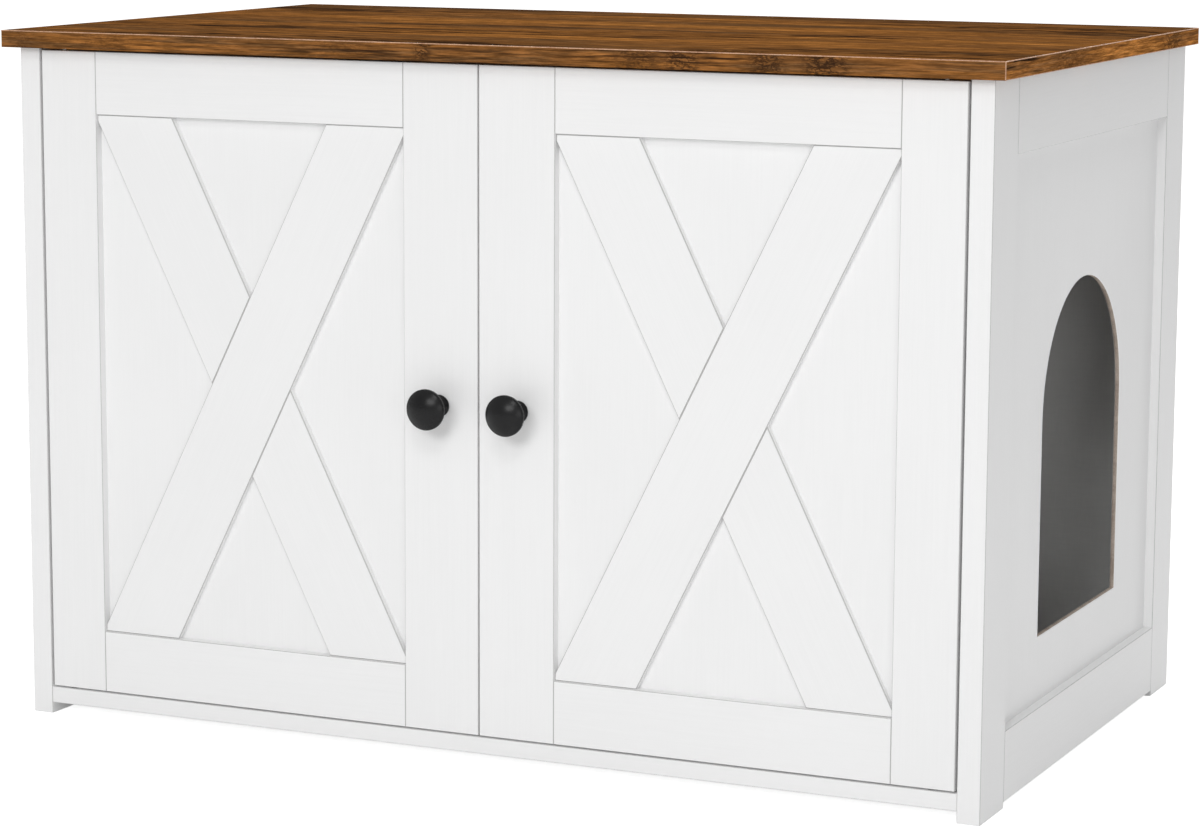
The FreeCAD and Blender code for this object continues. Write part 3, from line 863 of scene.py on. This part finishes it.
def add_block(name: str, corners: Corners) -> Piece:
    """A rectangular blank between two corners, ready to be shaped.

    Args:
        name: The piece's name.
        corners: The blank's lowest and highest corners.

    Returns:
        The new piece, selected and active.
    """
    low, high = corners
    deselect_all()
    bpy.ops.mesh.primitive_cube_add(size=1.0, location=(low + high) / 2, scale=high - low)
    return settle(bpy.context.active_object, name)


def pick_edges(piece: Piece, wanted: Callable[[Vector, Vector], bool]) -> None:
    """Selects, in edit mode, the edges whose two ends pass a test, and no others.

    Args:
        piece: The piece that is being edited.
        wanted: Tells from an edge's two ends whether it is selected.
    """
    bpy.ops.mesh.select_mode(type="EDGE")
    bpy.ops.mesh.select_all(action="DESELECT")
    mesh = bmesh.from_edit_mesh(piece.data)
    for edge in mesh.edges:
        edge.select_set(wanted(edge.verts[0].co, edge.verts[1].co))
    bmesh.update_edit_mesh(piece.data)


def round_edges(
    piece: Piece, wanted: Callable[[Vector, Vector], bool], reach: float, segments: int = 3
) -> None:
    """Rounds the edges of a piece that pass a test.

    Args:
        piece: The piece, in object mode.
        wanted: Tells from an edge's two ends whether it is rounded.
        reach: How far the rounding goes into each face.
        segments: The number of faces round the bend.
    """
    bpy.ops.object.mode_set(mode="EDIT")
    pick_edges(piece, wanted)
    bpy.ops.mesh.bevel(offset=reach, segments=segments, affect="EDGES")
    bpy.ops.object.mode_set(mode="OBJECT")


def smooth(piece: Piece) -> None:
    """Shades a piece smoothly across all but its sharp edges.

    Args:
        piece: The piece, in object mode.
    """
    deselect_all()
    piece.select_set(True)
    bpy.context.view_layer.objects.active = piece
    bpy.ops.object.shade_smooth_by_angle(angle=SOFT_ANGLE)


def coat(piece: Piece, finishes: Iterable[Finish], choose: Callable[[Vector, Vector], int]) -> None:
    """Gives each face of a piece one of its finishes.

    Args:
        piece: The piece to coat.
        finishes: The finishes, in the order of their slots.
        choose: Tells from a face's normal and middle which slot it takes.
    """
    piece.data.materials.clear()
    for finish in finishes:
        piece.data.materials.append(finish.material())
    for face in piece.data.polygons:
        face.material_index = choose(face.normal, face.center)


def mount(piece: Piece, body: str, replaced: Iterable[str] = ()) -> None:
    """Fixes a finished piece to its body and hides the frame's nodes that it stands for.

    Args:
        piece: The finished piece.
        body: The body that it rides on.
        replaced: The frame's nodes that it stands for.
    """
    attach(piece, body)
    if replaced:
        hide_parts(*replaced)
    LOG.info("%s on %s: %d faces", piece.name, body, len(piece.data.polygons))


# ---- sub-assemblies ----
@dataclass
class TopBoard:
    """The wood-print board: a faced core with an edge band on each side.

    A long band's rounding is printed where its normal points down past "below"; the print on that
    lower lip, darker than the pale core, is painted shade under the board.
    """

    band: float = 0.0010
    arris: float = 0.0007
    seam: float = 0.00015
    # Painted shade: below this normal the long bands' lower lip is printed dark instead of pale.
    below: float = -0.2
    body: str = "carcass"
    slot: str = "rustic_wood_print"
    face: RusticPrint = RusticPrint(
        "rustic_face",
        Run.ACROSS,
        burrs=(
            Patch(-0.215, 0.060, 0.9, -0.255, 0.030),
            Patch(0.330, 0.050, 0.5, 0.120, 0.035),
        ),
        glows=(Patch(-0.10, 0.60, 0.7, -0.19, 0.12),),
    )
    long_edge: EdgePrint = EdgePrint(
        "rustic_long_edge",
        Run.ACROSS,
        shift=11.0,
        smoke=0.25,
        mottle_tone=(0.775, 1.625),
        burrs=(
            Patch(-0.150, 0.034, 0.6),
            Patch(-0.188, 0.022, 0.85),
            Patch(-0.262, 0.024, 0.8),
            Patch(-0.312, 0.030, 0.85),
            Patch(0.046, 0.012, 0.8),
            Patch(0.120, 0.050, 0.35),
            Patch(0.355, 0.045, 0.3),
            Patch(0.440, 0.020, 0.3),
        ),
    )
    short_edge: EdgePrint = EdgePrint(
        "rustic_short_edge",
        Run.DEEP,
        shift=37.0,
        bands=Strands(8.0, 70.0),
        smoke=0.1,
        mottle_tone=(1.24, 2.6),
        burrs=(Patch(-0.10, 0.06, 0.4), Patch(0.20, 0.05, 0.6)),
    )

    def build(self) -> None:
        """Models the core and its four bands and fixes them to the carcass."""
        low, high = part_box("top_board")
        inset = Vector((self.band, self.band, 0.0))
        core = add_block("top_board_core", (low + inset, high - inset))
        round_edges(core, lambda a, b: True, self.seam, 1)
        coat(core, (self.face,), lambda normal, middle: 0)
        mount(core, self.body, ("top_board",))
        for word, outward in (("front", -1), ("rear", 1)):
            self.long_band(word, outward, low, high)
        for side in Side:
            self.short_band(side, low, high)

    def long_band(self, word: str, outward: int, low: Vector, high: Vector) -> None:
        """Models the band on the front or rear edge, which covers the corners.

        Args:
            word: The edge's name.
            outward: The sign of the edge's outward Y.
            low: The board's lowest corner.
            high: The board's highest corner.
        """
        outer = low.y if outward < 0 else high.y
        inner = outer - outward * self.band
        first = Vector((low.x, min(outer, inner), low.z))
        last = Vector((high.x, max(outer, inner), high.z))
        band = add_block(f"top_board_{word}_band", (first, last))
        round_edges(
            band,
            lambda a, b: abs(a.y - outer) < MICRON and abs(b.y - outer) < MICRON,
            self.arris,
        )

        def pick(normal: Vector, middle: Vector) -> int:
            """The print outside and below, where the dark lower lip is painted shade, and the pale
            core on the other faces.
            """
            return 0 if normal.y * outward > SQUARE_ON or normal.z < self.below else 1

        coat(band, (self.long_edge, PALE_ARRIS), pick)
        smooth(band)
        mount(band, self.body)

    def short_band(self, side: Side, low: Vector, high: Vector) -> None:
        """Models the band on the left or right edge, between the long bands.

        Args:
            side: The edge's side.
            low: The board's lowest corner.
            high: The board's highest corner.
        """
        outer = low.x if side is Side.LEFT else high.x
        inner = outer - side.value * self.band
        first = Vector((min(outer, inner), low.y + self.band, low.z))
        last = Vector((max(outer, inner), high.y - self.band, high.z))
        band = add_block(f"top_board_{side.word}_band", (first, last))

        def lip(a: Vector, b: Vector) -> bool:
            """Tells whether an edge is the outer face's top or bottom one."""
            outside = abs(a.x - outer) < MICRON and abs(b.x - outer) < MICRON
            return outside and abs(a.z - b.z) < MICRON

        round_edges(band, lip, self.arris)

        def pick(normal: Vector, middle: Vector) -> int:
            """The print outside and flat below, and the pale core on the other faces."""
            return 0 if normal.x * side.value > SQUARE_ON or normal.z < -SQUARE_ON else 1

        coat(band, (self.short_edge, PALE_ARRIS), pick)
        smooth(band)
        mount(band, self.body)


@dataclass
class EntrancePanel:
    """The right side's thin panel with the cat's arched doorway."""

    width: float = 0.224
    sill: float = 0.121
    height: float = 0.294
    middle_y: float = 0.0240
    arris: float = 0.0014
    cut_slant: float = 0.3
    arc_steps: int = 64
    body: str = "carcass"
    slot: str = "white_lacquer"
    # Painted highlight: the doorway's rounded rim takes a near-white arris tone, a bright outline
    # round the arch.
    paint: Lacquer = Lacquer(
        "lacquer_side_panel", Run.UPRIGHT, Face.SIDEWAYS, arris=tint(252, 252, 252)
    )

    @property
    def spring(self) -> float:
        """The height at which the round head starts."""
        return self.sill + self.height - self.width / 2

    def build(self) -> None:
        """Models the panel round its doorway and fixes it to the carcass."""
        low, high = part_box("right_side_panel")
        panel = self.doorway_outline(high.x)
        self.frame_outline(low, high)
        bpy.ops.mesh.select_all(action="SELECT")
        bpy.ops.mesh.bridge_edge_loops()
        bpy.ops.mesh.select_all(action="SELECT")
        bpy.ops.mesh.extrude_region_move(TRANSFORM_OT_translate={"value": (low.x - high.x, 0, 0)})
        bpy.ops.mesh.select_all(action="SELECT")
        bpy.ops.mesh.normals_make_consistent(inside=False)
        bpy.ops.object.mode_set(mode="OBJECT")
        round_edges(panel, self.on_doorway, self.arris)
        coat(panel, (self.paint, RAW_EDGE), self.finish_of)
        smooth(panel)
        mount(panel, self.body, ("right_side_panel",))

    def doorway_outline(self, x: float) -> Piece:
        """Draws the doorway: a round head, two jambs and a sill.

        Args:
            x: The plane that the outline lies in.

        Returns:
            The new piece, left in edit mode.
        """
        deselect_all()
        bpy.ops.mesh.primitive_circle_add(
            vertices=2 * self.arc_steps,
            radius=self.width / 2,
            location=(x, self.middle_y, self.spring),
            rotation=(0, QUARTER_TURN, 0),
        )
        panel = settle(bpy.context.active_object, "entrance_panel")
        bpy.ops.object.mode_set(mode="EDIT")
        self.pick_corners(panel, lambda co: co.z < self.spring - MICRON)
        bpy.ops.mesh.delete(type="VERT")
        self.pick_corners(panel, lambda co: co.z < self.spring + MICRON)
        drop = (0, 0, self.sill - self.spring)
        bpy.ops.mesh.extrude_region_move(TRANSFORM_OT_translate={"value": drop})
        bpy.ops.mesh.edge_face_add()
        return panel

    def frame_outline(self, low: Vector, high: Vector) -> None:
        """Draws the panel's own edge round the doorway, in the same mesh.

        Args:
            low: The panel's lowest corner.
            high: The panel's highest corner.
        """
        middle = (high.x, (low.y + high.y) / 2, (low.z + high.z) / 2)
        bpy.ops.mesh.select_all(action="DESELECT")
        bpy.ops.mesh.primitive_plane_add(
            size=1.0, location=middle, rotation=(0, QUARTER_TURN, 0)
        )
        spans = (1.0, high.y - low.y, high.z - low.z)
        bpy.ops.transform.resize(value=spans, center_override=middle)
        bpy.ops.mesh.delete(type="ONLY_FACE")

    def pick_corners(self, panel: Piece, wanted: Callable[[Vector], bool]) -> None:
        """Selects, in edit mode, the corners that pass a test, and no others.

        Args:
            panel: The piece that is being edited.
            wanted: Tells from a corner's place whether it is selected.
        """
        bpy.ops.mesh.select_mode(type="VERT")
        bpy.ops.mesh.select_all(action="DESELECT")
        mesh = bmesh.from_edit_mesh(panel.data)
        for corner in mesh.verts:
            corner.select_set(wanted(corner.co))
        mesh.select_flush(True)
        bmesh.update_edit_mesh(panel.data)

    def in_doorway(self, place: Vector) -> bool:
        """Tells whether a point lies on the doorway's rim or inside it.

        Args:
            place: The point.

        Returns:
            Whether it does.
        """
        reach = self.width / 2 + self.arris
        aside = place.y - self.middle_y
        if place.z <= self.spring:
            return abs(aside) <= reach and place.z >= self.sill - self.arris
        return math.hypot(aside, place.z - self.spring) <= reach

    def on_doorway(self, first: Vector, last: Vector) -> bool:
        """Tells whether an edge is one of the doorway's two rims."""
        level = abs(first.x - last.x) < MICRON
        return level and self.in_doorway(first) and self.in_doorway(last)

    def finish_of(self, normal: Vector, middle: Vector) -> int:
        """Raw board on the doorway's cut, and paint on all else."""
        return 1 if abs(normal.x) < self.cut_slant and self.in_doorway(middle) else 0


@dataclass
class Knob:
    """A turned mushroom knob on one door: base ring, waisted neck, domed head."""

    side: Side
    base_radius: float = 0.0095
    base_thickness: float = 0.0020
    neck_radius: float = 0.0055
    neck_setback: float = 0.0100
    head_radius: float = 0.0175
    head_setback: float = 0.0235
    dome_rise: float = 0.0060
    rim: float = 0.0012
    shoulder_share: float = 0.9
    edge_share: float = 0.6
    ease: float = 0.0003
    length: float = 0.0330
    turning_steps: int = 96
    curve_steps: int = 28
    bend_steps: int = 6

    def outline(self) -> list[Pair]:
        """The knob's half section, as radius and distance from the door.

        Returns:
            Points from the middle of the base to the tip of the dome.
        """
        points = [
            (0.0, 0.0),
            (self.base_radius - self.ease, 0.0),
            (self.base_radius, self.ease),
            (self.base_radius, self.base_thickness - self.ease),
            (self.base_radius - self.ease, self.base_thickness),
        ]
        points += self.waist()
        ball = (self.head_radius**2 + self.dome_rise**2) / (2 * self.dome_rise)
        edge = self.length - self.dome_rise
        points += self.bend(
            (self.head_radius - self.rim, self.head_setback),
            (self.head_radius, self.head_setback),
            (self.head_radius, self.head_setback + self.rim),
        )
        shoulder = self.head_radius - self.shoulder_share * self.rim
        drop = self.length - ball + math.sqrt(ball**2 - shoulder**2)
        points += self.bend(
            (self.head_radius, edge - self.edge_share * self.rim),
            (self.head_radius, edge),
            (shoulder, drop),
        )
        for step in range(1, self.curve_steps + 1):
            radius = shoulder * (1 - step / self.curve_steps)
            points.append((radius, self.length - ball + math.sqrt(ball**2 - radius**2)))
        return points

    def waist(self) -> list[Pair]:
        """The arc from the base ring through the neck to the head's back.

        Returns:
            Points along the arc, as radius and distance from the door.
        """
        start = (self.base_radius - 2 * self.ease, self.base_thickness)
        through = (self.neck_radius, self.neck_setback)
        end = (self.head_radius - self.rim - self.ease, self.head_setback)
        centre, radius = circle_through(start, through, end)
        first = math.atan2(start[1] - centre[1], start[0] - centre[0])
        last = math.atan2(end[1] - centre[1], end[0] - centre[0])
        span = (last - first) % math.tau - math.tau
        return [
            (
                centre[0] + radius * math.cos(first + span * step / self.curve_steps),
                centre[1] + radius * math.sin(first + span * step / self.curve_steps),
            )
            for step in range(self.curve_steps + 1)
        ]

    def bend(self, start: Pair, corner: Pair, end: Pair) -> list[Pair]:
        """A rounded corner of the section.

        Args:
            start: Where the rounding starts.
            corner: The sharp corner that it takes off.
            end: Where it ends.

        Returns:
            Points along the rounding.
        """
        points = []
        for step in range(self.bend_steps + 1):
            t = step / self.bend_steps
            pulls = ((1 - t) ** 2, 2 * t * (1 - t), t * t)
            held = list(zip(pulls, (start, corner, end)))
            radius = sum(pull * point[0] for pull, point in held)
            away = sum(pull * point[1] for pull, point in held)
            points.append((radius, away))
        return points

    def build(self) -> None:
        """Turns the knob and fixes it to its door."""
        node = f"{self.side.word}_door_knob"
        low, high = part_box(node)
        axis = Vector(((low.x + high.x) / 2, high.y, (low.z + high.z) / 2))
        deselect_all()
        bpy.ops.mesh.primitive_plane_add(size=self.rim, location=axis)
        knob = settle(bpy.context.active_object, f"{self.side.word}_turned_knob")
        bpy.ops.object.mode_set(mode="EDIT")
        bpy.ops.mesh.select_mode(type="VERT")
        bpy.ops.mesh.select_all(action="SELECT")
        bpy.ops.mesh.merge(type="CENTER")
        here = (0.0, 0.0)
        for radius, away in self.outline()[1:]:
            step = (radius - here[0], here[1] - away, 0.0)
            bpy.ops.mesh.extrude_region_move(TRANSFORM_OT_translate={"value": step})
            here = (radius, away)
        bpy.ops.mesh.select_all(action="SELECT")
        bpy.ops.mesh.spin(
            steps=self.turning_steps, angle=math.tau, center=axis, axis=(0.0, 1.0, 0.0)
        )
        bpy.ops.mesh.select_all(action="SELECT")
        bpy.ops.mesh.remove_doubles(threshold=2 * MICRON)
        bpy.ops.mesh.normals_make_consistent(inside=False)
        bpy.ops.object.mode_set(mode="OBJECT")
        coat(knob, (ENAMEL,), lambda normal, middle: 0)
        smooth(knob)
        mount(knob, f"{self.side.word}_door", (node,))


def circle_through(first: Pair, second: Pair, third: Pair) -> tuple[Pair, float]:
    """The circle through three points of a section.

    Args:
        first: One point.
        second: Another point.
        third: The last point.

    Returns:
        The circle's centre and its radius.
    """
    (ax, ay), (bx, by), (cx, cy) = first, second, third
    twice = 2 * (ax * (by - cy) + bx * (cy - ay) + cx * (ay - by))
    a, b, c = ax * ax + ay * ay, bx * bx + by * by, cx * cx + cy * cy
    x = (a * (by - cy) + b * (cy - ay) + c * (ay - by)) / twice
    y = (a * (cx - bx) + b * (ax - cx) + c * (bx - ax)) / twice
    return (x, y), math.hypot(ax - x, ay - y)


@dataclass
class Dressing:
    """The finishes of the frame's own nodes, whose shapes stay as they are."""

    nodes: dict[str, Piece]
    finishes: dict[str, Finish] = field(default_factory=dict)

    def __post_init__(self) -> None:
        """Lists every node that keeps its shape, with its finish."""
        self.list_carcass()
        for side in Side:
            self.list_door(side)

    def list_carcass(self) -> None:
        """Lists the boards, the side frames and the fittings of the carcass."""
        upright = Lacquer("lacquer_side_upright", Run.UPRIGHT, Face.SIDEWAYS)
        level = Lacquer("lacquer_side_level", Run.DEEP, Face.SIDEWAYS)
        for side in Side:
            word = side.word
            self.finishes[f"{word}_front_post"] = upright
            self.finishes[f"{word}_rear_post"] = upright
            self.finishes[f"{word}_side_top_rail"] = level
            self.finishes[f"{word}_side_bottom_rail"] = level
        self.finishes["left_side_panel"] = upright
        self.finishes["bottom_board"] = Lacquer("lacquer_board", Run.ACROSS, Face.UPWARD)
        self.finishes["back_panel"] = HARDBOARD
        self.finishes["cam_bolts"] = ZINC_PLATE
        self.finishes["cam_locks"] = CAST_ZINC
        self.finishes["carcass_dowels"] = BEECH
        self.finishes["lower_pivot_bushes"] = NYLON_GREYED_AS_SHADE
        self.finishes["upper_pivot_bushes"] = NYLON_GREYED_AS_SHADE
        self.finishes["catch_housings"] = WHITE_PLASTIC
        self.finishes["catch_magnets"] = FERRITE
        self.finishes["catch_pole_plates"] = BRIGHT_STEEL
        self.finishes["catch_screws"] = ZINC_PLATE

    def list_door(self, side: Side) -> None:
        """Lists one door's joinery and fittings.

        Args:
            side: The door's side.
        """
        door = f"{side.word}_door"
        upright = Lacquer("lacquer_door_upright", Run.UPRIGHT, Face.FORWARD)
        level = Lacquer("lacquer_door_level", Run.ACROSS, Face.FORWARD)
        for part in ("outer_stile", "meeting_stile", "panel"):
            self.finishes[f"{door}_{part}"] = upright
        for part in ("top_rail", "bottom_rail"):
            self.finishes[f"{door}_{part}"] = level
        climbing = Lacquer("lacquer_climbing", Run.CLIMBING, Face.FORWARD)
        falling = Lacquer("lacquer_falling", Run.FALLING, Face.FORWARD)
        self.finishes[f"{door}_long_brace"] = climbing
        self.finishes[f"{door}_upper_brace"] = falling
        self.finishes[f"{door}_lower_brace"] = falling
        self.finishes[f"{door}_knob_screw"] = ZINC_PLATE
        self.finishes[f"{door}_strike_plate"] = BRIGHT_STEEL
        self.finishes[f"{door}_strike_screw"] = ZINC_PLATE
        self.finishes[f"{door}_lower_pivot_pin"] = BRIGHT_STEEL
        self.finishes[f"{door}_upper_pivot_pin"] = BRIGHT_STEEL

    def dress(self) -> None:
        """Gives each listed node its finish."""
        for name, finish in self.finishes.items():
            for held in self.nodes[name].material_slots:
                held.material = finish.material()
            LOG.info("%s keeps its shape in %s", name, finish.name)


# ---- studio ----
@dataclass(frozen=True)
class Softbox:
    """A rectangular lamp: where it hangs, what it faces, its size and power."""

    name: str
    place: Triple
    aim: Triple
    width: float
    height: float
    watts: float

    def hang(self) -> None:
        """Hangs the lamp in the scene."""
        lamp = bpy.data.lights.new(self.name, "AREA")
        lamp.shape = "RECTANGLE"
        lamp.size, lamp.size_y, lamp.energy = self.width, self.height, self.watts
        hung = bpy.data.objects.new(self.name, lamp)
        hung.location = self.place
        look = Vector(self.aim) - Vector(self.place)
        hung.rotation_euler = look.to_track_quat("-Z", "Y").to_euler()
        bpy.context.scene.collection.objects.link(hung)


@dataclass(frozen=True)
class FloorPaint(Finish):
    """The studio floor's pale paint, which the camera sees as white."""

    tone: Colour = tint(236, 236, 236)
    lift: float = 0.80
    clouds: Clouds = Clouds(3.0)
    gloss_marks: Span = (0.3, 0.7)
    roughness: Span = (0.85, 0.95)
    specular: float = 0.1

    def fill(self, graph: Graph) -> None:
        """A dull paint that glows for the camera alone and still takes shadow.

        Args:
            graph: The material's tree.
        """
        dull = self.clouds.draw(graph, graph.grain_place(Run.UPRIGHT))
        graph.surface(
            Base_Color=self.tone,
            Roughness=graph.remap(dull, *self.gloss_marks, *self.roughness),
            Specular_IOR_Level=self.specular,
            Emission_Color=WHITE,
            Emission_Strength=graph.math("MULTIPLY", graph.seen(), self.lift),
        )


@dataclass
class Studio:
    """A pale floor, a white surround and soft lamps at a plain level."""

    floor_size: float = 120.0
    floor_drop: float = 0.0002
    floor_paint: FloorPaint = FloorPaint("studio_floor_paint")
    ambient: float = 0.42
    softboxes: tuple[Softbox, ...] = (
        Softbox("key_softbox", (0.3, -5.0, 2.3), (0.0, 0.0, 0.3), 2.2, 1.4, 73.0),
        Softbox("crest_softbox", (1.3, -4.2, 4.0), (0.0, 0.0, 0.3), 1.4, 1.1, 36.0),
        Softbox("top_softbox", (0.0, 0.3, 3.4), (0.0, 0.1, 0.0), 2.4, 1.8, 38.0),
        Softbox("side_softbox", (2.6, -3.4, 0.7), (0.45, 0.1, 0.3), 1.6, 1.2, 14.0),
        Softbox("rear_softbox", (-1.2, 3.6, 1.8), (0.0, 0.0, 0.3), 2.0, 1.6, 30.0),
    )

    def build(self) -> None:
        """Sets the surround, lays the floor and hangs the lamps."""
        self.surround()
        self.floor()
        for softbox in self.softboxes:
            softbox.hang()
        bpy.context.scene.view_settings.view_transform = "Standard"

    def surround(self) -> None:
        """A white world that lights the cabinet at the ambient level."""
        world = bpy.data.worlds.new("studio_surround")
        world.use_nodes = True
        bpy.context.scene.world = world
        graph = Graph(world.node_tree)
        level = graph.remap(graph.seen(), 0.0, 1.0, self.ambient, 1.0)
        shader = graph.add("Background", {"Color": WHITE, "Strength": level})
        graph.add("OutputWorld", {"Surface": shader.outputs[0]})

    def floor(self) -> None:
        """A wide pale floor, which reads white and keeps the cabinet's shadow."""
        deselect_all()
        bpy.ops.mesh.primitive_plane_add(
            size=self.floor_size, location=(0.0, 0.0, -self.floor_drop)
        )
        floor = settle(bpy.context.active_object, "studio_floor")
        floor.data.materials.append(self.floor_paint.material())


@dataclass
class ProductCamera:
    """The photograph's viewpoint, at the cabinet's right front."""

    place: Triple = (1.3394, -2.9450, 0.7887)
    azimuth: float = 24.533
    pitch: float = 9.189
    roll: float = 0.249
    lens: float = 108.28
    sensor: float = 36.0
    near: float = 0.05
    far: float = 200.0

    def build(self) -> None:
        """Sets up the camera, with no shift and no depth of field."""
        data = bpy.data.cameras.new("product_camera")
        data.lens, data.sensor_width = self.lens, self.sensor
        data.clip_start, data.clip_end = self.near, self.far
        camera = bpy.data.objects.new("product_camera", data)
        camera.location = self.place
        camera.rotation_mode = "QUATERNION"
        turn, tip = math.radians(self.azimuth), math.radians(self.pitch)
        ahead = Vector(
            (-math.sin(turn) * math.cos(tip), math.cos(turn) * math.cos(tip), -math.sin(tip))
        )
        level = ahead.to_track_quat("-Z", "Y")
        lean = Quaternion((0.0, 0.0, 1.0), math.radians(self.roll))
        camera.rotation_quaternion = level @ lean
        bpy.context.scene.collection.objects.link(camera)
        bpy.context.scene.camera = camera


def main() -> None:
    """Loads the frame, dresses it and sets up the studio."""
    logging.basicConfig(level=logging.INFO, format="%(name)s: %(message)s")
    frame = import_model()
    ProductCamera().build()
    Studio().build()
    TopBoard().build()
    EntrancePanel().build()
    for side in Side:
        Knob(side).build()
    Dressing(frame["nodes"]).dress()


if __name__ == "__main__":
    main()
